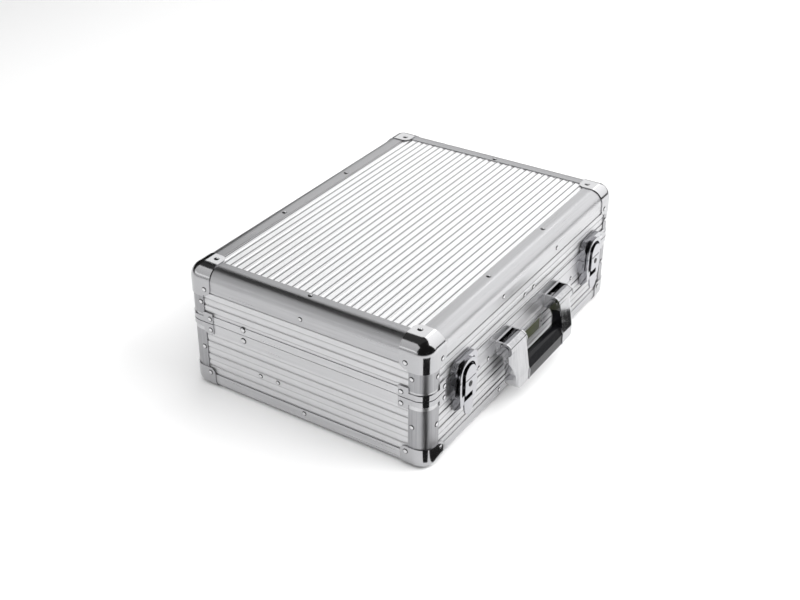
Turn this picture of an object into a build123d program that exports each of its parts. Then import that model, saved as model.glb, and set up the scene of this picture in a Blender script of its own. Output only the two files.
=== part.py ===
from build123d import *
import math
import os

# Tool case: aluminium edge extrusions, ribbed panels, ball corners, two draw latches
# and a drop handle. Millimetres, +Z up, +X to the right of the front, -Y towards the front.
# The origin is under the middle of the case, on the plane that its corners stand on.

# Overall sizes, over the extrusions
case_length = 460.0
case_depth = 328.0
case_body_height = 162.0
parting_height = 92.3        # of the joint between base and lid, above the floor
rim_gap = 0.6                # between the two rims when the lid is shut

# Edge extrusions
edge_radius_top = 17.0
edge_radius_bottom = 10.4
edge_radius_upright = 17.0
flange_front_top = 27.1
flange_end_top = 25.1
flange_bottom = 25.0
leg_top = 28.6
leg_bottom = 19.1
post_leg = 24.0
lip_thickness = 1.0
inner_lip_thickness = 1.5
inner_lip_reach = 6.4
fit_clearance = 0.1

# Ribbed panels
panel_core = 4.6
rib_height = 0.9
rib_pitch = 17.7
rib_land = 6.6               # flat width of a land; a shallow bead fills the rest
rib_bevel = 1.0              # from a land's edge down to the groove beside it
rib_bead_rise = 0.8          # of a bead's crown above the grooves
rib_phase_top = 7.2          # a land's middle, from the middle of the lid
rib_phase_lid_ends = 128.5   # a land's middle on the lid's short walls, above the floor
rib_phase_lid_sides = 126.9  # the same on the long walls
rib_phase_base_ends = 61.1
rib_phase_base_sides = 58.4

# Rims at the parting joint
lid_rim_height = 9.6
base_rim_height = 12.6
rim_block_height = 5.4
rim_tongue_thickness = 1.6
rim_tongue_height = 3.2
rim_tongue_inset = 4.2
rim_groove_clearance = 1.2
seal_thickness = 0.6
seal_gap = 0.3

# Ball corners and rim clamps
corner_wall = 1.2
corner_reach_top = 35.5
corner_reach_bottom = 33.5
corner_drop_top = 36.0
corner_rise_bottom = 28.0
corner_lobe_radius = 9.0
corner_lobe_radius_bottom = 7.0
corner_step = 2.0            # by which the top corners' side lobes end above the post's cover
corner_post_cover = 0.8      # of a top corner past the post's edges
clamp_reach = 36.5
clamp_band_height = 6.6
clamp_ear_height = 13.2
clamp_ear_width = 13.5
clamp_gap = 0.6

# Liners
liner_thickness = 1.5
liner_gap = 0.2
liner_rim_gap = 0.9

# Rear hinge
hinge_end_gap = 11.5         # between the hinge and the rim clamps
hinge_knuckles = 13
hinge_radius = 3.0
hinge_pin_radius = 1.25
hinge_offset = 3.2           # of the pin behind the case's rear face
hinge_leaf_thickness = 1.2
hinge_leaf_height = 9.4
knuckle_gap = 0.4
running_fit = 0.05

# Lid stays
stay_pivot_y = 83.5
stay_pivot_drop = 7.3        # of each pivot from the parting joint
stay_link_width = 11.0
stay_link_thickness = 1.5
stay_layer_gap = 0.4
stay_pin_radius = 2.0
stay_elbow_clearance = 0.3
stay_head_radius = 3.6
stay_head_height = 0.8

# Latches, in their own terms: sideways from their middle, outward from the front face
latch_inset = 69.5           # of a latch's middle from the end of the case
latch_width = 47.0
latch_raised_width = 37.0
latch_foot_width_high = 38.0
latch_foot_width_low = 31.0
latch_shoulder_height = 74.5
latch_foot_height = 50.0
latch_foot_radius = 7.0
latch_body_depth = 7.0
latch_raised_depth = 10.5
latch_floor = 1.5
latch_channel_width = 28.6
latch_lug_radius = 2.6       # of the two lugs that carry the lever's pins
latch_lug_width = 3.0
latch_lug_gap = 0.4
latch_grip_gap_width = 18.5
latch_grip_gap_height = 9.5
latch_apron_depth = 2.4
latch_groove_width = 2.2     # round the raised frame
latch_groove_floor = 3.0
latch_groove_top = 111.0
latch_tongue_low = 44.5
latch_tongue_out = 12.4
latch_tongue_thickness = 1.7
keeper_top_height = 117.5
keeper_corner_radius = 10.0
keeper_arch_height = 97.3    # of the arch's centre above the floor
lever_width = 22.0
lever_foot_height = 73.0
lever_face = 12.7
lever_plate = 2.1
lever_cheek = 2.0
lever_pivot_out = 7.0
lever_pivot_height = 88.5
lever_top_gap = 0.8          # under the parting joint
hook_pivot_drop = 6.5
hook_eye_radius = 2.6
hook_arm_width = 2.2
hook_arm_depth = 2.0
hook_side_gap = 0.35
hook_lip_height = 100.4
hook_lip_reach = 3.0         # of the lip behind the claw's front
claw_width = 13.0
claw_height = 3.3
claw_front = 5.4
hook_claw_gap = 0.35
latch_pin_radius = 1.5
lock_height = 84.5
lock_housing_radius = 5.0
lock_plug_radius = 3.5
lock_plug_proud = 0.4
lock_slot_width = 1.1
lock_slot_length = 4.4

# Handle
bracket_spacing = 122.0
bracket_width = 38.0
bracket_height = 17.5
bracket_rise = 8.8           # above the handle's pin
bracket_plate = 1.5
bracket_cheek = 2.0
handle_pivot_out = 12.0
handle_pivot_drop = 11.1     # below the parting joint
handle_barrel_radius = 8.5
handle_pin_radius = 2.0
handle_pin_head_radius = 5.2
handle_pin_head = 0.9
handle_side_gap = 0.3
handle_arm_back = 9.8
handle_front = 26.6
handle_foot = 25.2
handle_taper = 4.2
handle_corner_radius = 14.0
handle_side_radius = 10.0    # of the arm's outer front edge
handle_edge_radius = 3.0
cheek_thickness = 1.2
cheek_inset = 1.4
cheek_gap = 0.5              # under the barrel
grip_back_height = 47.5
grip_front_height = 41.2
grip_shoulder_out = 21.6
grip_shoulder_height = 49.2
grip_top = 51.3
strip_thickness = 2.6
strip_inset = 1.8
collar_width = 1.4
collar_height = 0.9

# Name plate place on the front, left bare
plate_width = 80.0
plate_height = 19.5
plate_thickness = 1.0
plate_middle_height = 54.6
plate_border = 1.6
plate_recess = 0.35

# Worked out from the sizes above
body_bottom = corner_wall
body_top = body_bottom + case_body_height
front_face = -case_depth / 2
panel_outer = lip_thickness + rib_height             # the ribs' floor, from the outer face
panel_inner = panel_outer + panel_core               # the panel's inner face
slot_inner = panel_inner + fit_clearance
inner_lip = slot_inner + inner_lip_thickness         # the extrusions' innermost face
latch_middle = case_length / 2 - latch_inset
bracket_middle = bracket_spacing / 2
handle_pivot_height = parting_height - handle_pivot_drop
bracket_top = handle_pivot_height + bracket_rise
handle_reach = bracket_middle - bracket_width / 2 + bracket_cheek + handle_side_gap
hinge_length = case_length - 2 * (clamp_reach + hinge_end_gap)
lid_rim_bottom = parting_height + rim_gap / 2
base_rim_top = parting_height - rim_gap / 2
lid_rim_lip_top = lid_rim_bottom + lid_rim_height
base_rim_lip_bottom = base_rim_top - base_rim_height
hinge_y = case_depth / 2 + hinge_offset
stay_x = case_length / 2 - inner_lip - stay_layer_gap
stay_link_length = math.hypot(hinge_y - stay_pivot_y, stay_pivot_drop)
lever_pin_inner = lever_width / 2 - lever_cheek - latch_lug_gap - latch_lug_width
lever_top = parting_height - lever_top_gap
hook_arm_inner = lever_width / 2 + hook_side_gap
hook_arm_outer = hook_arm_inner + hook_arm_width
hook_pivot_height = lever_pivot_height - hook_pivot_drop


def export(node, shape):
    """Write one sub-part to its own STEP file."""
    shape.label = node
    export_step(shape, f"parts/{node}.step")


def group(shapes):
    """Several separate solids that share one node."""
    return Compound(children=[s for shape in shapes for s in shape.solids()])


def block(x0, x1, y0, y1, z0, z1):
    """A box between two corners."""
    return Pos((x0 + x1) / 2, (y0 + y1) / 2, (z0 + z1) / 2) * Box(x1 - x0, y1 - y0, z1 - z0)


def four_corners(shape):
    """The front left piece with its copies at the other three corners of the case."""
    right = mirror(shape, about=Plane.YZ)
    return [shape, right, mirror(shape, about=Plane.XZ), mirror(right, about=Plane.XZ)]


def on_front(sketch, out_0, out_1, x=0.0):
    """Raise a sketch drawn in X and Z outward from the front face, between two distances."""
    plane = Plane(origin=(x, front_face - out_0, 0), x_dir=(1, 0, 0), z_dir=(0, -1, 0))
    return extrude(plane * sketch, amount=out_1 - out_0)


def across(outline, x_0, x_1):
    """Extrude an outline of (outward, height) points sideways, from x_0 to x_1."""
    plane = Plane(origin=(x_0, front_face, 0), x_dir=(0, -1, 0), z_dir=(-1, 0, 0))
    return extrude(plane * make_face(outline), amount=-(x_1 - x_0))


def rod(x_0, x_1, out, height, radius):
    """A round bar along X at a distance outward from the front face."""
    middle = Pos((x_0 + x_1) / 2, front_face - out, height)
    return middle * Rot(0, 90, 0) * Cylinder(radius, abs(x_1 - x_0))


# Edge extrusions

def edge_section(radius, flange, leg):
    """Section of an edge extrusion: u runs in from one outer face, v from the other.

    A rounded outer corner carries two thin lips outside and two inside, and the panels
    slide into the slots between them.
    """
    slot_end = radius + fit_clearance
    reach = radius + inner_lip_reach
    outer = Polyline((0, radius), (0, leg), (lip_thickness, leg), (lip_thickness, slot_end),
                     (slot_inner, slot_end), (slot_inner, reach), (inner_lip, reach),
                     (inner_lip, inner_lip), (reach, inner_lip), (reach, slot_inner),
                     (slot_end, slot_inner), (slot_end, lip_thickness),
                     (flange, lip_thickness), (flange, 0), (radius, 0))
    corner = RadiusArc((radius, 0), (0, radius), radius)
    return make_face(outer + corner)


def edge_bar(section, corner, u, v, length):
    """Extrude a section both ways from a corner point, with u and v along the given axes."""
    along = Vector(*u).cross(Vector(*v))
    start = Vector(*corner) - along * (length / 2)
    return extrude(Plane(origin=start, x_dir=u, z_dir=along) * section, amount=length)


def edge_bars(prefix, z, v, radius, flange_front, flange_end, leg):
    """The four bars round the top or the bottom, each stopping short of posts and flanges."""
    front_end = max(post_leg, flange_end) + fit_clearance
    left_end = max(post_leg, flange_front) + fit_clearance
    front = edge_bar(edge_section(radius, flange_front, leg), (0, front_face, z), (0, 1, 0), v,
                     case_length - 2 * front_end)
    left = edge_bar(edge_section(radius, flange_end, leg), (-case_length / 2, 0, z), (1, 0, 0), v,
                    case_depth - 2 * left_end)
    return {f"{prefix}_front": front, f"{prefix}_rear": mirror(front, about=Plane.XZ),
            f"{prefix}_left": left, f"{prefix}_right": mirror(left, about=Plane.YZ)}


def corner_posts(z_0, z_1):
    """The four upright corner extrusions of one half of the case."""
    section = edge_section(edge_radius_upright, post_leg, post_leg)
    corner = (-case_length / 2, front_face, (z_0 + z_1) / 2)
    return group(four_corners(edge_bar(section, corner, (1, 0, 0), (0, 1, 0), z_1 - z_0)))


# Ribbed panels

def rib_line(first, last, phase):
    """The ribs' surface line: flat lands with a groove on each side and a bead between."""
    half = rib_land / 2 + rib_bevel
    high = panel_core + rib_height
    line = Curve()
    for k in range(first, last):
        middle = phase + k * rib_pitch
        bead_end = middle + rib_pitch - half
        line += Polyline((middle - half, panel_core), (middle - rib_land / 2, high),
                         (middle + rib_land / 2, high), (middle + half, panel_core))
        line += ThreePointArc((middle + half, panel_core),
                              (middle + rib_pitch / 2, panel_core + rib_bead_rise),
                              (bead_end, panel_core))
    return line, phase + first * rib_pitch - half, bead_end


def panel_outline(start, end, phase):
    """Section of a ribbed sheet on its core, from start to end, with one land at phase."""
    first = math.floor((start - phase) / rib_pitch)
    last = math.ceil((end - phase) / rib_pitch) + 1
    line, low, high = rib_line(first, last, phase)
    line += Polyline((low, panel_core), (low, 0), (high, 0), (high, panel_core))
    thickness = panel_core + rib_height
    held = Pos((start + end) / 2, thickness / 2) * Rectangle(end - start, thickness)
    return make_face(line) & held


def panel(origin, across_ribs, outward, length, start, end, phase):
    """A panel whose ribs run along the third axis, centred on its origin."""
    along = Vector(*across_ribs).cross(Vector(*outward))
    corner = Vector(*origin) - along * (length / 2)
    plane = Plane(origin=corner, x_dir=across_ribs, z_dir=along)
    return extrude(plane * panel_outline(start, end, phase), amount=length)


def wall_panels(prefix, z_0, z_1, phase_sides, phase_ends):
    """The four upright panels of one half, held in the posts, the rim and the edge bars."""
    held = edge_radius_upright + 2 * fit_clearance
    front = panel((0, front_face + panel_inner, 0), (0, 0, 1), (0, -1, 0),
                  case_length - 2 * held, z_0, z_1, phase_sides)
    left = panel((-case_length / 2 + panel_inner, 0, 0), (0, 0, 1), (-1, 0, 0),
                 case_depth - 2 * held, z_0, z_1, phase_ends)
    return {f"{prefix}_front": front, f"{prefix}_rear": mirror(front, about=Plane.XZ),
            f"{prefix}_left": left, f"{prefix}_right": mirror(left, about=Plane.YZ)}


def flat_panel(z_inner, outward, radius, phase):
    """The top or bottom panel, with its ribs along the case."""
    held = radius + 2 * fit_clearance
    half = case_depth / 2 - held
    return panel((0, 0, z_inner), (0, -outward[2], 0), outward, case_length - 2 * held,
                 -half, half, phase)


# Rims

def ring(outer, inner, z_0, z_1):
    """A rounded ring between two insets from the case's outer faces."""
    def rounded(inset):
        radius = max(edge_radius_upright - inset, 1.0)
        return RectangleRounded(case_length - 2 * inset, case_depth - 2 * inset, radius)
    return extrude(Plane.XY.offset(z_0) * (rounded(outer) - rounded(inner)), amount=z_1 - z_0)


def mitred(whole):
    """Cut a ring into its four bars along the corners' mitres."""
    size = case_length
    half_x = case_length / 2
    half_y = case_depth / 2
    depth = half_y - fit_clearance
    gap = fit_clearance / 2
    front = Polygon((-half_x + gap, -half_y), (half_x - gap, -half_y),
                    (half_x - gap - depth, -half_y + depth),
                    (-half_x + gap + depth, -half_y + depth), align=None)
    front_wedge = extrude(front, amount=size)
    left = Polygon((-half_x, -half_y + gap), (-half_x + depth, -half_y + gap + depth),
                   (-half_x + depth, half_y - gap - depth), (-half_x, half_y - gap), align=None)
    left_wedge = extrude(left, amount=size)
    wedges = [front_wedge, mirror(front_wedge, about=Plane.XZ),
              left_wedge, mirror(left_wedge, about=Plane.YZ)]
    return group([whole & wedge for wedge in wedges])


def lid_rim():
    """Lid rim: a block with a groove underneath and a slot above for the walls."""
    block_top = lid_rim_bottom + rim_block_height
    groove_top = base_rim_top + rim_tongue_height + seal_gap + seal_thickness
    whole = ring(0, inner_lip, lid_rim_bottom, block_top)
    whole += ring(0, lip_thickness, block_top, lid_rim_lip_top)
    whole += ring(slot_inner, inner_lip, block_top, lid_rim_lip_top)
    whole -= ring(rim_tongue_inset - rim_groove_clearance,
                  rim_tongue_inset + rim_tongue_thickness + rim_groove_clearance,
                  lid_rim_bottom, groove_top)
    return mitred(whole)


def base_rim():
    """Base rim: a block with a slot below for the walls and a tongue that enters the lid."""
    block_bottom = base_rim_top - rim_block_height
    whole = ring(0, inner_lip, block_bottom, base_rim_top)
    whole += ring(0, lip_thickness, base_rim_lip_bottom, block_bottom)
    whole += ring(slot_inner, inner_lip, base_rim_lip_bottom, block_bottom)
    whole += ring(rim_tongue_inset, rim_tongue_inset + rim_tongue_thickness,
                  base_rim_top, base_rim_top + rim_tongue_height)
    return mitred(whole)


def rim_seal():
    """The seal strip in the top of the lid rim's groove."""
    bottom = base_rim_top + rim_tongue_height + seal_gap
    inset = rim_tongue_inset - rim_groove_clearance + fit_clearance
    width = rim_tongue_thickness + 2 * rim_groove_clearance - 2 * fit_clearance
    return ring(inset, inset + width, bottom, bottom + seal_thickness)


# Ball corners and rim clamps

def rounded_body(grow):
    """The case's outer form, grown by a wall thickness on every side."""
    low = body_bottom - grow
    high = body_top + grow
    form = block(-case_length / 2 - grow, case_length / 2 + grow,
                 front_face - grow, -front_face + grow, low, high)
    top_edges = form.edges().group_by(Axis.Z)[-1]
    form = fillet(form.edges().filter_by(Axis.Z) + top_edges, edge_radius_top + grow)
    return fillet(form.edges().group_by(Axis.Z)[0], edge_radius_bottom + grow)


def ball_corner(outer, inner, reach, height, lobe_radius, at_top):
    """A pressed corner cap: three rounded lobes on the three faces that meet there."""
    x_0 = -case_length / 2 - corner_wall
    y_0 = front_face - corner_wall
    z_0 = body_top - height if at_top else 0.0
    z_1 = body_top + corner_wall if at_top else height
    clip = block(x_0, -case_length / 2 + reach, y_0, front_face + reach, z_0, z_1)
    inner_z = z_0 + corner_step if at_top else z_1
    if at_top:
        cover = post_leg + corner_post_cover
        under = block(x_0, -case_length / 2 + reach, y_0, front_face + reach, z_0, inner_z)
        clip -= under - block(x_0, -case_length / 2 + cover, y_0, front_face + cover, z_0, inner_z)
    lobes = [e for e in clip.edges()
             if sum([abs(e.center().X + case_length / 2 - reach) < 0.01,
                     abs(e.center().Y - front_face - reach) < 0.01,
                     abs(e.center().Z - inner_z) < 0.01]) == 2]
    clip = fillet(lobes, lobe_radius)
    return (outer & clip) - inner


def ball_corners(at_top):
    """The four ball corners of the lid or of the base."""
    outer = rounded_body(corner_wall)
    inner = rounded_body(fit_clearance / 2)
    if at_top:
        cap = ball_corner(outer, inner, corner_reach_top, corner_drop_top, corner_lobe_radius, True)
    else:
        cap = ball_corner(outer, inner, corner_reach_bottom, corner_rise_bottom,
                          corner_lobe_radius_bottom, False)
    return group(four_corners(cap))


def rim_clamps(edge, up):
    """Plates that wrap the corners at the parting joint; up is 1 on the lid, -1 on the base."""
    def wrap(z_0, z_1):
        low = min(z_0, z_1)
        return ring(-corner_wall, -fit_clearance / 2, low, low + abs(z_1 - z_0))
    x_0 = -case_length / 2 - corner_wall
    y_0 = front_face - corner_wall
    ear_edge = edge + up * clamp_ear_height
    band_edge = edge + up * clamp_band_height
    corner = block(x_0, -case_length / 2 + clamp_reach, y_0, front_face + clamp_reach,
                   0, body_top)
    inside = block(x_0, -case_length / 2 + clamp_reach - clamp_ear_width, y_0,
                   front_face + clamp_reach - clamp_ear_width, 0, body_top)
    ears = (wrap(edge, ear_edge) & corner) - inside
    band = wrap(edge, band_edge) & corner
    return group(four_corners(ears + band))


# Liners

def liner(z_floor, z_edge):
    """A tray-shaped lining: a floor and four walls just inside the extrusions."""
    inset = inner_lip + liner_gap
    length = case_length - 2 * inset
    depth = case_depth - 2 * inset
    low = min(z_floor, z_edge)
    height = abs(z_edge - z_floor)
    radius = edge_radius_upright
    tray = extrude(Plane.XY.offset(low) * RectangleRounded(length, depth, radius), amount=height)
    hollow = RectangleRounded(length - 2 * liner_thickness, depth - 2 * liner_thickness,
                              radius - liner_thickness)
    start = z_floor + math.copysign(liner_thickness, z_edge - z_floor)
    return tray - extrude(Plane.XY.offset(min(start, z_edge)) * hollow, amount=abs(z_edge - start))


# Rear hinge

def hinge_leaf(up, first):
    """One leaf of the long hinge; up is 1 on the lid, -1 on the base."""
    pitch = hinge_length / hinge_knuckles
    clear = hinge_radius + knuckle_gap
    near = parting_height + up * clear
    far = parting_height + up * (clear + hinge_leaf_height - rim_gap)
    inner = case_depth / 2
    outer = inner + hinge_leaf_thickness
    leaf = block(-hinge_length / 2, hinge_length / 2, inner, outer, min(near, far), max(near, far))
    for k in range(first, hinge_knuckles, 2):
        x_0 = -hinge_length / 2 + k * pitch + knuckle_gap / 2
        x_1 = x_0 + pitch - knuckle_gap
        middle = Pos((x_0 + x_1) / 2, hinge_y, parting_height)
        tab_end = parting_height + up * (hinge_radius / 2)
        leaf += middle * Rot(0, 90, 0) * Cylinder(hinge_radius, x_1 - x_0)
        leaf += block(x_0, x_1, inner + fit_clearance, outer, min(near, tab_end), max(near, tab_end))
    bore = Pos(0, hinge_y, parting_height) * Rot(0, 90, 0)
    return leaf - bore * Cylinder(hinge_pin_radius + running_fit, hinge_length)


def hinge_pin():
    """The long pin through both leaves."""
    return Pos(0, hinge_y, parting_height) * Rot(0, 90, 0) * Cylinder(hinge_pin_radius, hinge_length)


# Lid stays

def stay_angle():
    """Slope of a folded link, from its pivot to the elbow between the two links."""
    return math.asin(stay_pivot_drop / stay_link_length)


def stay_link(side, layer, up):
    """A flat link from its pivot forward to the elbow; up is 1 for the base's link.

    Hinge pin, two rim pivots and elbow are the corners of a rhombus, so the elbow stays
    together at every angle of the lid. The base's link carries the elbow's headed pin.
    """
    x_out = stay_x - layer * (stay_link_thickness + stay_layer_gap)
    angle = stay_angle()
    pivot = (stay_pivot_y, parting_height - up * stay_pivot_drop)
    elbow = (pivot[0] - stay_link_length * math.cos(angle), parting_height)
    middle = ((pivot[0] + elbow[0]) / 2, (pivot[1] + elbow[1]) / 2)
    plane = Plane(origin=(x_out - stay_link_thickness, middle[0], middle[1]),
                  x_dir=(0, -math.cos(angle), up * math.sin(angle)), z_dir=(1, 0, 0))
    plate = extrude(plane * SlotCenterToCenter(stay_link_length, stay_link_width),
                    amount=stay_link_thickness)
    deep = 4 * stay_link_thickness
    at_pivot = Pos(x_out, pivot[0], pivot[1]) * Rot(0, 90, 0)
    plate -= at_pivot * Cylinder(stay_pin_radius + running_fit, deep)
    at_elbow = Pos(0, elbow[0], elbow[1]) * Rot(0, 90, 0)
    if up > 0:
        shank_end = x_out - 2 * stay_link_thickness - 1.5 * stay_layer_gap
        shank = Cylinder(stay_pin_radius, x_out - shank_end)
        plate += Pos((x_out + shank_end) / 2, 0, 0) * at_elbow * shank
        plate += (Pos(shank_end - stay_head_height / 2, 0, 0) * at_elbow
                  * Cylinder(stay_head_radius, stay_head_height))
    else:
        plate -= Pos(x_out, 0, 0) * at_elbow * Cylinder(stay_pin_radius + stay_elbow_clearance, deep)
    return plate if side > 0 else mirror(plate, about=Plane.YZ)


def stay_pin(side, layer, up):
    """The headed pin that carries a link on its rim."""
    x_rim = case_length / 2 - inner_lip
    x_head = stay_x - layer * (stay_link_thickness + stay_layer_gap) - stay_link_thickness
    x_face = x_head - stay_layer_gap / 2
    height = parting_height - up * stay_pivot_drop
    centre = Pos(0, stay_pivot_y, height) * Rot(0, 90, 0)
    shank = Pos((x_rim + x_face) / 2, 0, 0) * centre * Cylinder(stay_pin_radius, x_rim - x_face)
    head = Pos(x_face - stay_head_height / 2, 0, 0) * centre
    pin = shank + head * Cylinder(stay_head_radius, stay_head_height)
    return pin if side > 0 else mirror(pin, about=Plane.YZ)


# Latches

def arch(half_width, low, centre):
    """A face with straight sides and a round top, in X and Z."""
    sides = Polyline((half_width, centre), (half_width, low), (-half_width, low),
                     (-half_width, centre))
    top = RadiusArc((-half_width, centre), (half_width, centre), half_width)
    return make_face(sides + top)


def latch_base():
    """Lower half of a latch: a shouldered body with a channel for the lever."""
    top = base_rim_top - fit_clearance
    high = latch_foot_width_high / 2
    low = latch_foot_width_low / 2
    outline = Polygon((-latch_width / 2, top), (-latch_width / 2, latch_shoulder_height),
                      (-high, latch_shoulder_height), (-low, latch_foot_height),
                      (low, latch_foot_height), (high, latch_shoulder_height),
                      (latch_width / 2, latch_shoulder_height), (latch_width / 2, top), align=None)
    outline = fillet(outline.vertices().group_by(Axis.Y)[0], latch_foot_radius)
    body = on_front(outline, 0, latch_body_depth)
    gap_low = lever_foot_height - fit_clearance - latch_grip_gap_height
    raised = Polygon((-latch_raised_width / 2, top), (-latch_raised_width / 2, latch_shoulder_height),
                     (-low, latch_foot_height), (low, latch_foot_height),
                     (latch_raised_width / 2, latch_shoulder_height),
                     (latch_raised_width / 2, top), align=None)
    body += on_front(raised, latch_body_depth, latch_raised_depth)
    groove = Pos(0, (latch_shoulder_height + top) / 2) * Rectangle(
        latch_raised_width + 2 * latch_groove_width, top - latch_shoulder_height)
    body -= on_front(groove - raised, latch_groove_floor, latch_body_depth)
    wall = 2 * latch_pin_radius
    slope = Polyline((latch_raised_depth, gap_low - wall), (latch_apron_depth, latch_foot_height),
                     (2 * latch_raised_depth, latch_foot_height),
                     (2 * latch_raised_depth, gap_low - wall), close=True)
    body -= across(slope, -latch_width, latch_width)
    shoulder = lever_foot_height - hook_claw_gap
    channel = Pos(0, (top + shoulder) / 2) * Rectangle(latch_channel_width, top - shoulder)
    channel += Pos(0, (shoulder + gap_low) / 2) * Rectangle(latch_grip_gap_width, shoulder - gap_low)
    body -= on_front(channel, latch_floor, 2 * latch_raised_depth)
    lug_outer = lever_pin_inner + latch_lug_width
    for x_0 in (lever_pin_inner, -lug_outer):
        body += across(lug_outline(), x_0, x_0 + latch_lug_width)
    body += latch_tongue(gap_low)
    return body - rod(-lug_outer, lug_outer, lever_pivot_out, lever_pivot_height,
                      latch_pin_radius + running_fit)


def latch_tongue(high):
    """A round-ended tongue below the finger gap, leaning out from the raised frame."""
    back = latch_tongue_thickness
    side = Polyline((latch_raised_depth - back, high), (latch_raised_depth, high),
                    (latch_tongue_out, latch_tongue_low),
                    (latch_tongue_out - back, latch_tongue_low), close=True)
    half = latch_grip_gap_width / 2
    front = Pos(0, (high + latch_tongue_low) / 2) * Rectangle(2 * half, high - latch_tongue_low)
    front = fillet(front.vertices().group_by(Axis.Y)[0], half - fit_clearance)
    return across(side, -half, half) & on_front(front, 0, 2 * latch_tongue_out)


def lug_outline():
    """Side view of a lug: it stands on the channel's floor, round about the lever's pin."""
    low = lever_pivot_height - latch_lug_radius
    high = lever_pivot_height + latch_lug_radius
    foot = Polyline((lever_pivot_out, low), (latch_floor, low), (latch_floor, high),
                    (lever_pivot_out, high))
    return foot + RadiusArc((lever_pivot_out, high), (lever_pivot_out, low), latch_lug_radius)


def latch_keeper():
    """Upper half of a latch, on the lid: an arched body with a claw across its channel."""
    bottom = lid_rim_bottom + fit_clearance
    middle = (bottom + keeper_top_height) / 2
    outline = Pos(0, middle) * Rectangle(latch_width, keeper_top_height - bottom)
    outline = fillet(outline.vertices().group_by(Axis.Y)[-1], keeper_corner_radius)
    body = on_front(outline, 0, latch_body_depth)
    body += on_front(arch(latch_raised_width / 2, bottom, keeper_arch_height),
                     latch_body_depth, latch_raised_depth)
    body -= on_front(arch(latch_channel_width / 2, bottom - 1, keeper_arch_height),
                     latch_floor, 2 * latch_raised_depth)
    groove = arch(latch_raised_width / 2 + latch_groove_width, bottom - 1, keeper_arch_height)
    groove -= arch(latch_raised_width / 2, bottom - 1, keeper_arch_height)
    groove &= Pos(0, latch_groove_top / 2) * Rectangle(2 * latch_width, latch_groove_top)
    body -= on_front(groove, latch_groove_floor, latch_body_depth)
    claw_top = hook_lip_height - hook_claw_gap
    claw = Pos(0, claw_top - claw_height / 2) * Rectangle(claw_width, claw_height)
    return body + on_front(claw, latch_floor, claw_front)


def latch_pivot_pins():
    """The two short pins that carry the lever on the latch base's lugs."""
    outer = lever_width / 2 - fit_clearance
    pins = [rod(side * lever_pin_inner, side * outer, lever_pivot_out, lever_pivot_height,
                latch_pin_radius) for side in (-1, 1)]
    return group(pins)


def latch_lever():
    """The lever: a face plate with two cheeks, a lock housing and stubs for the hook."""
    half = lever_width / 2
    inner_face = lever_face - lever_plate
    middle = (lever_top + lever_foot_height) / 2
    plate = Pos(0, middle) * Rectangle(lever_width, lever_top - lever_foot_height)
    plate = fillet(plate.vertices().group_by(Axis.Y)[0], lever_cheek)
    lever = on_front(plate, inner_face, lever_face)
    eye = hook_eye_radius
    foot = hook_pivot_height
    cheek = Polyline((lever_pivot_out, foot - eye), (inner_face + fit_clearance, foot - eye),
                     (inner_face + fit_clearance, lever_top), (lever_pivot_out, lever_top),
                     (lever_pivot_out - eye, lever_pivot_height), (lever_pivot_out - eye, foot),
                     close=True)
    housing = Pos(0, lock_height) * Circle(lock_housing_radius)
    lever += on_front(housing, lever_pivot_out - eye, inner_face + fit_clearance)
    for side in (-1, 1):
        near = side * (half - lever_cheek)
        lever += across(cheek, min(near, side * half), max(near, side * half))
        lever += rod(near, side * hook_arm_outer, lever_pivot_out, foot, latch_pin_radius)
        lever -= rod(near, side * half, lever_pivot_out, lever_pivot_height,
                     latch_pin_radius + running_fit)
    bore = Pos(0, lock_height) * Circle(lock_plug_radius + running_fit)
    return lever - on_front(bore, 0, 2 * lever_face)


def latch_hook():
    """The hook: a round-topped face, two arms beside the lever and a lip over the claw."""
    back = lever_pivot_out - hook_arm_depth / 2
    front = lever_pivot_out + hook_arm_depth / 2
    inner_face = lever_face - lever_plate
    foot = hook_pivot_height
    lip_top = hook_lip_height + lever_plate
    low = parting_height + hook_claw_gap
    hook = on_front(arch(lever_width / 2, low, keeper_arch_height), inner_face, lever_face)
    web_low = low + hook_arm_depth
    shoulder = Pos(0, (web_low + keeper_arch_height) / 2)
    hook += on_front(shoulder * Rectangle(2 * hook_arm_outer, keeper_arch_height - web_low),
                     back, front)
    web = Pos(0, (web_low + lip_top) / 2) * Rectangle(claw_width, lip_top - web_low)
    hook += on_front(web, back, inner_face + fit_clearance)
    for side in (-1, 1):
        arm = Pos(side * (hook_arm_inner + hook_arm_width / 2), (foot + keeper_arch_height) / 2)
        hook += on_front(arm * Rectangle(hook_arm_width, keeper_arch_height - foot), back, front)
        hook += rod(side * hook_arm_inner, side * hook_arm_outer, lever_pivot_out, foot,
                    hook_eye_radius)
    lip = Pos(0, (hook_lip_height + lip_top) / 2) * Rectangle(claw_width, lip_top - hook_lip_height)
    hook += on_front(lip, claw_front - hook_lip_reach, back + fit_clearance)
    return hook - rod(-hook_arm_outer, hook_arm_outer, lever_pivot_out, foot,
                      latch_pin_radius + running_fit)


def lock_plug():
    """The key plug in the lever's housing, with its key slot."""
    front = lever_face + lock_plug_proud
    plug = on_front(Pos(0, lock_height) * Circle(lock_plug_radius),
                    lever_pivot_out - hook_eye_radius, front)
    slot = Pos(0, lock_height) * Rectangle(lock_slot_width, lock_slot_length)
    slot += Pos(0, lock_height + lock_slot_length / 4) * Circle(lock_slot_width)
    return plug - on_front(slot, lever_pivot_out, 2 * lever_face)


# Handle

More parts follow.
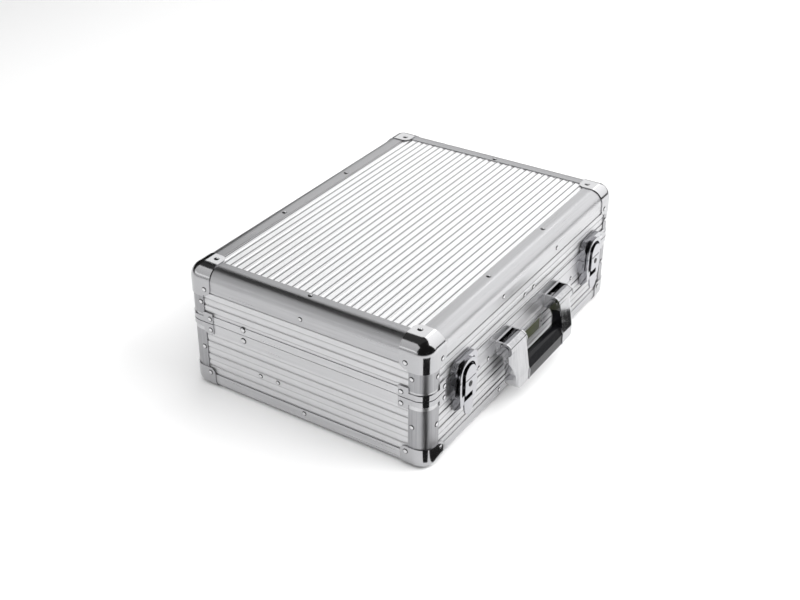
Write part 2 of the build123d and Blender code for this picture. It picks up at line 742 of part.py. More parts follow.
def handle_bracket():
    """A bracket: a plate with two cheeks whose ends are round about the handle's pin."""
    half = bracket_width / 2
    low = bracket_top - bracket_height
    plate = Pos(0, (low + bracket_top) / 2) * Rectangle(bracket_width, bracket_height)
    bracket = on_front(plate, 0, bracket_plate)
    radius = bracket_height / 2
    side = Polyline((handle_pivot_out, low), (0, low), (0, bracket_top),
                    (handle_pivot_out, bracket_top))
    nose = RadiusArc((handle_pivot_out, bracket_top), (handle_pivot_out, low), radius)
    for x_0 in (-half, half - bracket_cheek):
        bracket += across(side + nose, x_0, x_0 + bracket_cheek)
    return bracket - rod(-half, half, handle_pivot_out, handle_pivot_height,
                         handle_pin_radius + running_fit)


def handle_pin():
    """The pin across a bracket, with a head at each end."""
    half = bracket_width / 2
    pin = rod(-half, half, handle_pivot_out, handle_pivot_height, handle_pin_radius)
    for side in (-1, 1):
        pin += rod(side * half, side * (half + handle_pin_head), handle_pivot_out,
                   handle_pivot_height, handle_pin_head_radius)
    return pin


def arm_side(inset, high, low):
    """Side view of an arm between two heights, drawn in from its front and back edges.

    The front leans out from the barrel to the grip's front and is upright below.
    """
    knee = handle_pivot_height - 2 * handle_barrel_radius
    front = handle_pivot_out + handle_barrel_radius
    back = handle_pivot_out - handle_barrel_radius
    drop = handle_pivot_height - high
    back_top = back + (handle_arm_back - back) * drop / (handle_pivot_height - knee)
    front_top = front + (handle_front - front) * drop / (handle_pivot_height - grip_front_height)
    return Polyline((back_top + inset, high), (handle_arm_back + inset, knee),
                    (handle_arm_back + inset, low), (handle_front - inset, low),
                    (handle_front - inset, grip_front_height), (front_top - inset, high),
                    close=True)


def arm_cheek():
    """The dark cheek let into the right arm's inner side, from the grip to the barrel."""
    high = handle_pivot_height - handle_barrel_radius - cheek_gap
    side = arm_side(cheek_inset, high, handle_foot + strip_thickness)
    return across(side, handle_reach, handle_reach + cheek_thickness)


def arm_plan(inner, outer):
    """A bar whose outer front edge is round; it stands up to the grip and leans above it."""
    barrel_front = handle_pivot_out + handle_barrel_radius
    plan = Polygon((inner, front_face - handle_front), (outer, front_face - handle_front),
                   (outer, front_face), (inner, front_face), align=None)
    corner = plan.vertices().group_by(Axis.Y)[0].sort_by(Axis.X)[-1]
    plan = Pos(0, 0, grip_front_height) * fillet(corner, handle_side_radius)
    height = handle_pivot_height - grip_front_height
    lean = Vector(0, handle_front - barrel_front, height)
    upright = extrude(plan, amount=-(grip_front_height - handle_foot))
    return upright + extrude(plan, amount=lean.length, dir=lean.normalized())


def handle_arm():
    """The right arm: a barrel on the pin, a leaning leg and a rounded outer edge and foot."""
    inner = handle_reach
    outer = 2 * bracket_middle - inner
    barrel = rod(inner, outer, handle_pivot_out, handle_pivot_height, handle_barrel_radius)
    leg = across(arm_side(0, handle_pivot_height, handle_foot), inner, outer)
    leg = fillet(leg.edges().filter_by(Axis.X).group_by(Axis.Z)[0], handle_edge_radius)
    knee = handle_pivot_height - 2 * handle_barrel_radius
    foot = Polygon((inner, handle_foot), (outer - handle_taper, handle_foot),
                   (outer - handle_taper, grip_back_height), (outer, knee), (outer, body_top),
                   (inner, body_top), align=None)
    corner = foot.vertices().group_by(Axis.Y)[0].sort_by(Axis.X)[-1]
    outline = on_front(fillet(corner, handle_corner_radius), 0, 2 * handle_front)
    arm = barrel + (leg & outline & arm_plan(inner, outer))
    return arm - arm_cheek() - rod(inner, outer, handle_pivot_out, handle_pivot_height,
                                   handle_pin_radius + running_fit)


def grip_section(low, grow):
    """Section of the grip from a height up: upright back, crowned top, sloping front."""
    back = handle_arm_back - grow
    front = handle_front + grow
    shoulder = (grip_shoulder_out + grow, grip_shoulder_height + grow)
    sides = Polyline((back, grip_back_height), (back, low), (front, low),
                     (front, grip_front_height), shoulder)
    middle = (handle_arm_back + grip_shoulder_out) / 2
    return sides + ThreePointArc(shoulder, (middle, grip_top + grow), (back, grip_back_height))


def handle_grip():
    """The grip between the arms, with a cheek at each end that is let into the arm."""
    cheek = arm_cheek()
    grip = across(grip_section(handle_foot + strip_thickness, 0), -handle_reach, handle_reach)
    return grip + cheek + mirror(cheek, about=Plane.YZ)


def handle_strip():
    """The bright trim: a strip under the grip and a collar round each of its ends."""
    low = handle_foot + strip_thickness
    side = Polyline((handle_arm_back + strip_inset, handle_foot),
                    (handle_front - strip_inset, handle_foot),
                    (handle_front, handle_foot + strip_inset), (handle_front, low),
                    (handle_arm_back, low), (handle_arm_back, handle_foot + strip_inset),
                    close=True)
    strip = across(side, -handle_reach, handle_reach)
    grip = across(grip_section(low, 0), -handle_reach, handle_reach)
    for x_0 in (-handle_reach, handle_reach - collar_width):
        collar = grip_section(handle_foot + strip_inset, collar_height)
        strip += across(collar, x_0, x_0 + collar_width) - grip
    return strip


# Name plate place

def label_plate():
    """A bare plate on the ribs of the base, with a raised border."""
    sheet = Pos(0, plate_middle_height) * RectangleRounded(plate_width, plate_height, plate_border)
    field = Pos(0, plate_middle_height) * RectangleRounded(
        plate_width - 2 * plate_border, plate_height - 2 * plate_border, plate_border / 2)
    back = -lip_thickness
    plate = on_front(sheet, back, back + plate_thickness)
    return plate - on_front(field, back + plate_thickness - plate_recess, back + plate_thickness)


def build_base():
    """Everything that stays with the base."""
    nodes = edge_bars("base_edge", body_bottom, (0, 0, 1), edge_radius_bottom, flange_bottom,
                      flange_bottom, leg_bottom)
    nodes["base_corner_posts"] = corner_posts(
        body_bottom + edge_radius_bottom + fit_clearance, base_rim_lip_bottom - fit_clearance)
    wall_low = body_bottom + edge_radius_bottom + 2 * fit_clearance
    wall_high = base_rim_top - rim_block_height - fit_clearance
    nodes.update(wall_panels("base_panel", wall_low, wall_high, rib_phase_base_sides,
                             rib_phase_base_ends))
    nodes["base_panel_bottom"] = flat_panel(body_bottom + panel_inner, (0, 0, -1),
                                            edge_radius_bottom, 0.0)
    nodes["base_rim"] = base_rim()
    nodes["base_ball_corners"] = ball_corners(at_top=False)
    nodes["base_rim_clamps"] = rim_clamps(parting_height - clamp_gap, -1)
    nodes["base_liner"] = liner(body_bottom + inner_lip + liner_gap,
                                base_rim_lip_bottom - liner_rim_gap)
    nodes["hinge_leaf_base"] = hinge_leaf(-1, 0)
    nodes["hinge_pin"] = hinge_pin()
    nodes["stay_pins_base"] = group([stay_pin(side, 0, 1) for side in (-1, 1)])
    nodes["label_plate"] = label_plate()
    bracket = handle_bracket()
    pin = handle_pin()
    for name, side in (("left", -1), ("right", 1)):
        nodes[f"handle_bracket_{name}"] = Pos(side * bracket_middle, 0, 0) * bracket
        nodes[f"latch_base_{name}"] = Pos(side * latch_middle, 0, 0) * latch_base()
    nodes["handle_pins"] = group([Pos(side * bracket_middle, 0, 0) * pin for side in (-1, 1)])
    nodes["latch_pivot_pins"] = group([Pos(side * latch_middle, 0, 0) * latch_pivot_pins()
                                       for side in (-1, 1)])
    return nodes


def build_lid():
    """Everything that swings up with the lid."""
    nodes = edge_bars("lid_edge", body_top, (0, 0, -1), edge_radius_top, flange_front_top,
                      flange_end_top, leg_top)
    nodes["lid_corner_posts"] = corner_posts(lid_rim_lip_top + fit_clearance,
                                             body_top - edge_radius_top - fit_clearance)
    wall_low = lid_rim_bottom + rim_block_height + fit_clearance
    wall_high = body_top - edge_radius_top - 2 * fit_clearance
    nodes.update(wall_panels("lid_panel", wall_low, wall_high, rib_phase_lid_sides,
                             rib_phase_lid_ends))
    nodes["lid_panel_top"] = flat_panel(body_top - panel_inner, (0, 0, 1), edge_radius_top,
                                        rib_phase_top)
    nodes["lid_rim"] = lid_rim()
    nodes["lid_seal"] = rim_seal()
    nodes["lid_ball_corners"] = ball_corners(at_top=True)
    nodes["lid_rim_clamps"] = rim_clamps(parting_height + clamp_gap, 1)
    nodes["lid_liner"] = liner(body_top - inner_lip - liner_gap, lid_rim_lip_top + liner_rim_gap)
    nodes["hinge_leaf_lid"] = hinge_leaf(1, 1)
    nodes["stay_pins_lid"] = group([stay_pin(side, 1, -1) for side in (-1, 1)])
    for name, side in (("left", -1), ("right", 1)):
        nodes[f"latch_keeper_{name}"] = Pos(side * latch_middle, 0, 0) * latch_keeper()
    return nodes


def build_moving():
    """The latches' levers, hooks and lock plugs, the handle and the stays."""
    nodes = {}
    arm = handle_arm()
    for name, side in (("left", -1), ("right", 1)):
        place = Pos(side * latch_middle, 0, 0)
        nodes[f"latch_lever_{name}"] = place * latch_lever()
        nodes[f"latch_hook_{name}"] = place * latch_hook()
        nodes[f"lock_plug_{name}"] = place * lock_plug()
        nodes[f"handle_arm_{name}"] = arm if side > 0 else mirror(arm, about=Plane.YZ)
        nodes[f"stay_link_base_{name}"] = stay_link(side, 0, 1)
        nodes[f"stay_link_lid_{name}"] = stay_link(side, 1, -1)
    nodes["handle_grip"] = handle_grip()
    nodes["handle_strip"] = handle_strip()
    return nodes


os.makedirs("parts", exist_ok=True)
for node_name, node_shape in {**build_base(), **build_lid(), **build_moving()}.items():
    export(node_name, node_shape)
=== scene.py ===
import math

import bpy
import numpy as np
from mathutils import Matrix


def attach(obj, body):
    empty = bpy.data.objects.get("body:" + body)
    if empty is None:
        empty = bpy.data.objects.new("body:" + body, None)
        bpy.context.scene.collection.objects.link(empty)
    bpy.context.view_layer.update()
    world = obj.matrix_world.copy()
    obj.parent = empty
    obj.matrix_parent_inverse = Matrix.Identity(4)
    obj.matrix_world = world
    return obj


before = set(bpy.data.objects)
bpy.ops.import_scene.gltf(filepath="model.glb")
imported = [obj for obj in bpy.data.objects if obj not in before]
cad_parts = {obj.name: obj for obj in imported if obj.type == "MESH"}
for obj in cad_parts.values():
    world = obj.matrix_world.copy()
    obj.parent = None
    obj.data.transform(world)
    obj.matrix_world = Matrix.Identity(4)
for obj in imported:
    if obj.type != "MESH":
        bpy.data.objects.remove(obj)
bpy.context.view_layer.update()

# Case sizes in metres, as the frame has them
half_length = 0.230
half_depth = 0.164
body_top = 0.1632
panel_depth = 0.0010         # of the ribs' crowns, in from the extrusions' outer faces

# Ribs: grooves beside each land
rib_pitch = 0.0177
groove_offset = 0.0043
groove_width = 0.0013

# Rivets: head radius and height
small_rivet = (0.0030, 0.0012)
post_rivet = (0.0033, 0.0012)
stay_rivet = (0.0040, 0.0015)
label_pin = (0.0013, 0.0005)
rivet_sink = 0.0004
corner_skin = 0.0012         # how far ball corners and clamps stand proud


# Shapes

def mesh_piece(name, points, faces, material, smooth=True):
    """A mesh object at the origin from point and face arrays, with one material."""
    mesh = bpy.data.meshes.new(name)
    mesh.from_pydata(points.tolist(), [], faces.tolist())
    mesh.materials.append(material)
    if smooth:
        mesh.polygons.foreach_set("use_smooth", np.ones(len(mesh.polygons), bool))
    mesh.update()
    piece = bpy.data.objects.new(name, mesh)
    bpy.context.scene.collection.objects.link(piece)
    return piece


def head_profile(radius, height, sink):
    """Half section of a rivet head, from the pole out to the rim and down into the sheet.

    The dome's height is height * (1 - (r / radius) ** 2.6), so it is flat on top and
    steep at the rim.
    """
    r = radius * np.sin(np.linspace(0.0, 1.0, 7) * math.pi / 2)
    dome = height * (1.0 - (r / radius) ** 2.6)
    return np.append(r, radius), np.append(dome, -sink)


def rivet_heads(name, places, size, material):
    """Rivet heads turned about their own axes, one closed shell for each place.

    The head's profile goes round in 20 steps: point = place + r cos t u + r sin t v + h n.
    The attribute rim grows from 0 at the pole to 1 where the head meets the sheet.
    """
    radius, height = size
    r, h = head_profile(radius, height, rivet_sink)
    steps = 20
    turn = np.linspace(0.0, 2 * math.pi, steps, endpoint=False)
    points, faces, start = [], [], 0
    rings = len(r) - 1
    one_rim = np.concatenate([[0.0, 1.0], np.repeat(r[1:] / radius, steps)])
    for place, normal in places:
        n = np.array(normal, float)
        n /= np.linalg.norm(n)
        u = np.cross(n, (0.0, 0.0, 1.0) if abs(n[2]) < 0.9 else (1.0, 0.0, 0.0))
        u /= np.linalg.norm(u)
        v = np.cross(n, u)
        circle = np.cos(turn)[:, None] * u + np.sin(turn)[:, None] * v
        ring_points = (r[1:, None, None] * circle[None] + h[1:, None, None] * n).reshape(-1, 3)
        pole = np.array([h[0] * n, h[-1] * n])
        points.append(np.concatenate([pole, ring_points]) + np.array(place))
        k = np.arange(steps)
        after = (k + 1) % steps
        first = start + 2
        cap = np.stack([np.full(steps, start), first + k, first + after], 1)
        last = first + (rings - 1) * steps
        base = np.stack([np.full(steps, start + 1), last + after, last + k], 1)
        faces += cap.tolist() + base.tolist()
        for ring in range(rings - 1):
            a = first + ring * steps
            b = a + steps
            faces += np.stack([a + k, b + k, b + after, a + after], 1).tolist()
        start += 2 + rings * steps
    mesh = bpy.data.meshes.new(name)
    mesh.from_pydata(np.concatenate(points).tolist(), [], faces)
    rim = mesh.attributes.new("rim", "FLOAT", "POINT")
    rim.data.foreach_set("value", np.tile(one_rim, len(points)))
    mesh.materials.append(material)
    mesh.polygons.foreach_set("use_smooth", np.ones(len(mesh.polygons), bool))
    mesh.update()
    piece = bpy.data.objects.new(name, mesh)
    bpy.context.scene.collection.objects.link(piece)
    return piece


# Shader groups

def new_group(name, inputs, outputs):
    """An empty node group with named sockets, given as (name, socket type, default)."""
    group = bpy.data.node_groups.new(name, "ShaderNodeTree")
    for label, kind, default in inputs:
        socket = group.interface.new_socket(name=label, in_out="INPUT", socket_type=kind)
        if default is not None:
            socket.default_value = default
    for label, kind in outputs:
        group.interface.new_socket(name=label, in_out="OUTPUT", socket_type=kind)
    nodes = group.nodes
    return group, nodes.new("NodeGroupInput"), nodes.new("NodeGroupOutput")


def math_node(nodes, links, operation, first, second=None, clamp=False):
    """A math node; each operand is a socket or a number."""
    node = nodes.new("ShaderNodeMath")
    node.operation = operation
    node.use_clamp = clamp
    for index, operand in enumerate((first, second)):
        if operand is None:
            continue
        if isinstance(operand, (int, float)):
            node.inputs[index].default_value = operand
        else:
            links.new(operand, node.inputs[index])
    return node.outputs[0]


def build_drawn_metal():
    """Long fine streaks along X or Y, soft cloudy patches and small specks.

    Outputs a tone from -1 to 1, a roughness offset and a height for a Bump node.
    """
    group, start, end = new_group(
        "drawn_metal",
        [("Stretch", "NodeSocketVector", (1.0, 1.0, 1.0)), ("Streak", "NodeSocketFloat", 1.0),
         ("Cloud", "NodeSocketFloat", 1.0)],
        [("Tone", "NodeSocketFloat"), ("Rough", "NodeSocketFloat"), ("Height", "NodeSocketFloat")])
    nodes, links = group.nodes, group.links
    place = nodes.new("ShaderNodeTexCoord")
    scaled = nodes.new("ShaderNodeVectorMath")
    scaled.operation = "MULTIPLY"
    links.new(place.outputs["Object"], scaled.inputs[0])
    links.new(start.outputs["Stretch"], scaled.inputs[1])
    streak = nodes.new("ShaderNodeTexNoise")
    streak.inputs["Scale"].default_value = 420.0
    streak.inputs["Detail"].default_value = 3.0
    links.new(scaled.outputs[0], streak.inputs["Vector"])
    cloud = nodes.new("ShaderNodeTexNoise")
    cloud.inputs["Scale"].default_value = 22.0
    cloud.inputs["Detail"].default_value = 4.0
    cloud.inputs["Roughness"].default_value = 0.6
    links.new(place.outputs["Object"], cloud.inputs["Vector"])
    streak_tone = math_node(nodes, links, "SUBTRACT", streak.outputs["Fac"], 0.5)
    streak_part = math_node(nodes, links, "MULTIPLY", streak_tone, start.outputs["Streak"])
    cloud_tone = math_node(nodes, links, "SUBTRACT", cloud.outputs["Fac"], 0.5)
    cloud_part = math_node(nodes, links, "MULTIPLY", cloud_tone, start.outputs["Cloud"])
    tone = math_node(nodes, links, "ADD", streak_part, cloud_part)
    links.new(tone, end.inputs["Tone"])
    rough = math_node(nodes, links, "MULTIPLY", tone, 0.35)
    links.new(rough, end.inputs["Rough"])
    links.new(streak_part, end.inputs["Height"])
    return group


def build_edge_wear():
    """Where the surface is convex the finish is rubbed: a mask from 0 to 1, broken by noise."""
    group, start, end = new_group("edge_wear", [("Amount", "NodeSocketFloat", 1.0)],
                                  [("Mask", "NodeSocketFloat")])
    nodes, links = group.nodes, group.links
    shape = nodes.new("ShaderNodeNewGeometry")
    place = nodes.new("ShaderNodeTexCoord")
    noise = nodes.new("ShaderNodeTexNoise")
    noise.inputs["Scale"].default_value = 160.0
    noise.inputs["Detail"].default_value = 5.0
    links.new(place.outputs["Object"], noise.inputs["Vector"])
    edge = nodes.new("ShaderNodeMapRange")
    edge.inputs["From Min"].default_value = 0.53
    edge.inputs["From Max"].default_value = 0.62
    links.new(shape.outputs["Pointiness"], edge.inputs["Value"])
    broken = math_node(nodes, links, "MULTIPLY", edge.outputs[0], noise.outputs["Fac"])
    scaled = math_node(nodes, links, "MULTIPLY", broken, start.outputs["Amount"], clamp=True)
    links.new(scaled, end.inputs["Mask"])
    return group


def build_rib_lines():
    """Painted shade in the ribs' grooves: a mask by the distance from the nearest groove.

    Two grooves lie at groove_offset on each side of every land, and the lands repeat at
    rib_pitch along the given axis of the Object coordinates, from the given phase.
    """
    group, start, end = new_group(
        "rib_lines", [("Axis", "NodeSocketVector", (0.0, 0.0, 1.0)),
                      ("Phase", "NodeSocketFloat", 0.0)], [("Mask", "NodeSocketFloat")])
    nodes, links = group.nodes, group.links
    place = nodes.new("ShaderNodeTexCoord")
    along = nodes.new("ShaderNodeVectorMath")
    along.operation = "DOT_PRODUCT"
    links.new(place.outputs["Object"], along.inputs[0])
    links.new(start.outputs["Axis"], along.inputs[1])
    shifted = math_node(nodes, links, "SUBTRACT", along.outputs["Value"], start.outputs["Phase"])
    turns = math_node(nodes, links, "DIVIDE", shifted, rib_pitch)
    nearest = math_node(nodes, links, "ROUND", turns)
    rest = math_node(nodes, links, "SUBTRACT", turns, nearest)
    out = math_node(nodes, links, "MULTIPLY", math_node(nodes, links, "ABSOLUTE", rest), rib_pitch)
    gap = math_node(nodes, links, "ABSOLUTE",
                    math_node(nodes, links, "SUBTRACT", out, groove_offset))
    near = math_node(nodes, links, "DIVIDE", gap, groove_width)
    mask = math_node(nodes, links, "SUBTRACT", 1.0, near, clamp=True)
    links.new(mask, end.inputs["Mask"])
    return group


rib_lines = build_rib_lines()
drawn_metal = build_drawn_metal()
edge_wear = build_edge_wear()


# Materials

def new_material(name):
    """A material with its Principled shader, node list and links."""
    material = bpy.data.materials.new(name)
    material.use_nodes = True
    tree = material.node_tree
    return material, tree.nodes["Principled BSDF"], tree.nodes, tree.links


def paint_shade(nodes, links, colour, mask, strength):
    """The colour, darkened towards near-black by painted shade where the mask is 1."""
    painted_shading = nodes.new("ShaderNodeMix")
    painted_shading.data_type = "RGBA"
    links.new(math_node(nodes, links, "MULTIPLY", mask, strength), painted_shading.inputs[0])
    links.new(colour, painted_shading.inputs[6])
    painted_shading.inputs[7].default_value = (0.03, 0.03, 0.03, 1.0)
    return painted_shading.outputs[2]


def metal(name, dark, light, roughness, stretch, streak=1.0, cloud=1.0, bump=0.05, wear=0.0,
          metallic=1.0, ribs=None, rim=0.0, painted_top_light=0.0):
    """Bare or plated metal: streaks and clouds move its tone between dark and light.

    ribs gives the axis, the phase and the strength of the painted shade lines in a sheet's grooves,
    rim the strength of the painted dark ring round a rivet's head, and the last argument how much
    the faces that look up are painted brighter: painted light on the top faces.
    """
    material, shader, nodes, links = new_material(name)
    shader.inputs["Metallic"].default_value = metallic
    grain = nodes.new("ShaderNodeGroup")
    grain.node_tree = drawn_metal
    grain.inputs["Stretch"].default_value = stretch
    grain.inputs["Streak"].default_value = streak
    grain.inputs["Cloud"].default_value = cloud
    mix = nodes.new("ShaderNodeMix")
    mix.data_type = "RGBA"
    mix.inputs[6].default_value = (*dark, 1.0)
    mix.inputs[7].default_value = (*light, 1.0)
    factor = math_node(nodes, links, "ADD", grain.outputs["Tone"], 0.5, clamp=True)
    links.new(factor, mix.inputs[0])
    rough = math_node(nodes, links, "ADD", grain.outputs["Rough"], roughness)
    if wear:
        rub = nodes.new("ShaderNodeGroup")
        rub.node_tree = edge_wear
        rub.inputs["Amount"].default_value = wear
        less = math_node(nodes, links, "MULTIPLY", rub.outputs["Mask"], -0.12)
        rough = math_node(nodes, links, "ADD", rough, less)
    colour = mix.outputs[2]
    # Painted shade: dark lines along the sheet's grooves
    if ribs:
        axis, phase, strength = ribs
        lines = nodes.new("ShaderNodeGroup")
        lines.node_tree = rib_lines
        lines.inputs["Axis"].default_value = axis
        lines.inputs["Phase"].default_value = phase
        colour = paint_shade(nodes, links, colour, lines.outputs["Mask"], strength)
    # Painted light: faces that look up are mixed towards near-white
    if painted_top_light:
        facing = nodes.new("ShaderNodeTexCoord")
        parts = nodes.new("ShaderNodeSeparateXYZ")
        links.new(facing.outputs["Normal"], parts.inputs["Vector"])
        up_share = math_node(nodes, links, "MULTIPLY", parts.outputs["Z"], 1.0, clamp=True)
        top_light_mix = nodes.new("ShaderNodeMix")
        top_light_mix.data_type = "RGBA"
        squared = math_node(nodes, links, "MULTIPLY", up_share, up_share)
        links.new(math_node(nodes, links, "MULTIPLY", squared, painted_top_light), top_light_mix.inputs[0])
        links.new(colour, top_light_mix.inputs[6])
        top_light_mix.inputs[7].default_value = (0.94, 0.94, 0.95, 1.0)
        colour = top_light_mix.outputs[2]
    # Painted shade: a dark ring where the rivet's head meets the sheet
    if rim:
        edge = nodes.new("ShaderNodeAttribute")
        edge.attribute_name = "rim"
        outer = math_node(nodes, links, "SUBTRACT", edge.outputs["Fac"], 0.60)
        ring = math_node(nodes, links, "MULTIPLY", outer, 4.0, clamp=True)
        colour = paint_shade(nodes, links, colour, ring, rim)
    links.new(colour, shader.inputs["Base Color"])
    links.new(rough, shader.inputs["Roughness"])
    relief = nodes.new("ShaderNodeBump")
    relief.inputs["Strength"].default_value = bump
    relief.inputs["Distance"].default_value = 0.0002
    links.new(grain.outputs["Height"], relief.inputs["Height"])
    links.new(relief.outputs["Normal"], shader.inputs["Normal"])
    return material


def plastic(name, colour, roughness, grain_scale, bump, specular=0.5):
    """Moulded plastic or rubber with a fine grain in its surface."""
    material, shader, nodes, links = new_material(name)
    shader.inputs["Base Color"].default_value = (*colour, 1.0)
    shader.inputs["Specular IOR Level"].default_value = specular
    place = nodes.new("ShaderNodeTexCoord")
    noise = nodes.new("ShaderNodeTexNoise")
    noise.inputs["Scale"].default_value = grain_scale
    noise.inputs["Detail"].default_value = 4.0
    links.new(place.outputs["Object"], noise.inputs["Vector"])
    spread = math_node(nodes, links, "MULTIPLY", noise.outputs["Fac"], 0.18)
    rough = math_node(nodes, links, "ADD", spread, roughness - 0.09)
    links.new(rough, shader.inputs["Roughness"])
    relief = nodes.new("ShaderNodeBump")
    relief.inputs["Strength"].default_value = bump
    relief.inputs["Distance"].default_value = 0.0004
    links.new(noise.outputs["Fac"], relief.inputs["Height"])
    links.new(relief.outputs["Normal"], shader.inputs["Normal"])
    return material


def label_material():
    """A plate with a dark olive field inside a narrow bare border, by Object coordinates."""
    material, shader, nodes, links = new_material("label_plate")
    place = nodes.new("ShaderNodeTexCoord")
    parts = nodes.new("ShaderNodeSeparateXYZ")
    links.new(place.outputs["Object"], parts.inputs[0])
    half_field = 0.0330
    field_low, field_high = 0.0470, 0.0622
    side = math_node(nodes, links, "ABSOLUTE", parts.outputs["X"])
    inside_x = math_node(nodes, links, "LESS_THAN", side, half_field)
    above = math_node(nodes, links, "GREATER_THAN", parts.outputs["Z"], field_low)
    below = math_node(nodes, links, "LESS_THAN", parts.outputs["Z"], field_high)
    inside = math_node(nodes, links, "MULTIPLY", inside_x, above)
    inside = math_node(nodes, links, "MULTIPLY", inside, below)
    noise = nodes.new("ShaderNodeTexNoise")
    noise.inputs["Scale"].default_value = 240.0
    links.new(place.outputs["Object"], noise.inputs["Vector"])
    olive = nodes.new("ShaderNodeMix")
    olive.data_type = "RGBA"
    olive.inputs[6].default_value = (0.040, 0.046, 0.022, 1.0)
    olive.inputs[7].default_value = (0.085, 0.095, 0.045, 1.0)
    links.new(noise.outputs["Fac"], olive.inputs[0])
    mix = nodes.new("ShaderNodeMix")
    mix.data_type = "RGBA"
    mix.inputs[6].default_value = (0.70, 0.70, 0.70, 1.0)
    links.new(inside, mix.inputs[0])
    links.new(olive.outputs[2], mix.inputs[7])
    links.new(mix.outputs[2], shader.inputs["Base Color"])
    links.new(math_node(nodes, links, "SUBTRACT", 1.0, inside), shader.inputs["Metallic"])
    shader.inputs["Roughness"].default_value = 0.35
    return material


along_x = (0.02, 1.0, 1.0)
along_y = (1.0, 0.02, 1.0)
along_z = (1.0, 1.0, 0.02)
even = (1.0, 1.0, 1.0)

all_round = (0.02, 0.02, 1.0)

wall_tones = ((0.50, 0.50, 0.51), (0.68, 0.68, 0.69))
end_tones = ((0.53, 0.53, 0.54), (0.71, 0.71, 0.72))
# top_tones is a far lighter copy of the walls' tones: painted light on the top sheet
top_tones = ((0.88, 0.88, 0.89), (0.99, 0.99, 1.00))
up = (0.0, 0.0, 1.0)
rear = (0.0, 1.0, 0.0)


def sheet(name, tones, stretch, axis, phase, painted_shading):
    """Ribbed sheet, drawn along its ribs, with painted shade in the grooves."""
    return metal(name, *tones, 0.46, stretch, streak=0.35, cloud=0.35, bump=0.04, metallic=0.8,
                 ribs=(axis, phase, painted_shading))


# The last number of each sheet is the strength of the painted shade in its grooves
sheets = {"lid_panel_top": sheet("sheet_top", top_tones, along_x, rear, 0.0072, 1.0),
          "base_panel_bottom": sheet("sheet_bottom", wall_tones, along_x, rear, 0.0, 0.35),
          "lid_long": sheet("sheet_lid_long", wall_tones, along_x, up, 0.1269, 0.85),
          "lid_short": sheet("sheet_lid_short", end_tones, along_y, up, 0.1285, 0.3),
          "base_long": sheet("sheet_base_long", wall_tones, along_x, up, 0.0584, 0.85),
          "base_short": sheet("sheet_base_short", end_tones, along_y, up, 0.0611, 0.3)}
# Lit and shaded copies of one extrusion metal: the front, rim and low end bars are painted lighter
# and the uprights darker, by where each faces and how near the floor it stands
bar_tones = ((0.33, 0.33, 0.34), (0.52, 0.52, 0.53))
post_tones = ((0.20, 0.20, 0.21), (0.46, 0.46, 0.47))
bar_x = metal("extrusion_long", *bar_tones, 0.34, along_x, streak=0.9, cloud=0.25, wear=0.2)
bar_y = metal("extrusion_short", *bar_tones, 0.34, along_y, streak=0.9, cloud=0.25, wear=0.2)
bar_z = metal("extrusion_upright", *post_tones, 0.38, along_z, streak=1.2, cloud=0.25, wear=0.2)
bar_front = metal("extrusion_front", (0.39, 0.39, 0.40), (0.60, 0.60, 0.61), 0.34, along_x,
                  streak=0.9, cloud=0.25, wear=0.2)
bar_low = metal("extrusion_low", (0.42, 0.42, 0.43), (0.62, 0.62, 0.63), 0.34, along_y,
                streak=0.9, cloud=0.25, wear=0.2)
bar_ring = metal("extrusion_rim", (0.44, 0.44, 0.45), (0.62, 0.62, 0.63), 0.32, all_round,
                 streak=0.5, cloud=0.25, bump=0.01, wear=0.2)
# Plated steel, painted lighter on the faces that look up
bright = metal("plated_steel", (0.34, 0.34, 0.35), (0.48, 0.48, 0.49), 0.15, even,
               streak=0.12, cloud=0.35, bump=0.02, wear=0.4, painted_top_light=0.45)
latch = metal("latch_metal", (0.32, 0.32, 0.34), (0.52, 0.52, 0.54), 0.15, even,
              streak=0.2, cloud=0.4, bump=0.03, wear=0.5)
keyway = metal("lock_plug", (0.02, 0.02, 0.02), (0.05, 0.05, 0.05), 0.30, even,
               streak=0.2, cloud=0.3)
arm = metal("handle_arms", (0.26, 0.26, 0.27), (0.62, 0.62, 0.63), 0.13, along_z, streak=0.6,
            cloud=0.5, bump=0.02, wear=0.4)
hinge = metal("hinge_steel", (0.50, 0.50, 0.51), (0.72, 0.72, 0.73), 0.34, along_x,
              streak=0.5, cloud=0.4)
# Rivet heads with a painted dark ring of shade round their rims
rivet = metal("rivet_heads", (0.50, 0.50, 0.51), (0.72, 0.72, 0.73), 0.16, even, streak=0.2,
              cloud=0.4, bump=0.02, wear=0.2, rim=0.95)
liner = plastic("liner", (0.012, 0.012, 0.013), 0.62, 900.0, 0.35)
seal = plastic("seal", (0.010, 0.010, 0.010), 0.75, 700.0, 0.2)
grip = plastic("grip", (0.005, 0.005, 0.006), 0.22, 500.0, 0.03, specular=0.2)
label = label_material()


def finish_of(node):
    """The material of a CAD node, by what it is and which way it is drawn."""
    if node.endswith("_liner"):
        return liner
    if node in ("lid_seal", "handle_grip", "label_plate"):
        return {"lid_seal": seal, "handle_grip": grip, "label_plate": label}[node]
    ends = node.endswith("_left") or node.endswith("_right")
    if node in sheets:
        return sheets[node]
    if "_panel_" in node:
        return sheets[node.split("_")[0] + ("_short" if ends else "_long")]
    if "_edge_" in node:
        if node.endswith("_front"):
            return bar_front
        if ends and node.startswith("base"):
            return bar_low
        return bar_y if ends else bar_x
    if node.endswith("_posts"):
        return bar_z
    if node.endswith("_rim"):
        return bar_ring
    if node.startswith("lock"):
        return keyway
    if node.startswith("handle_arm"):
        return arm
    if node.startswith("latch"):
        return latch
    if node.startswith("hinge") or node.startswith("stay"):
        return hinge
    return bright


for node_name, node_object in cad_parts.items():
    for slot_index in range(len(node_object.data.materials)):
        node_object.data.materials[slot_index] = finish_of(node_name)


# Rivets, by where they sit on the case

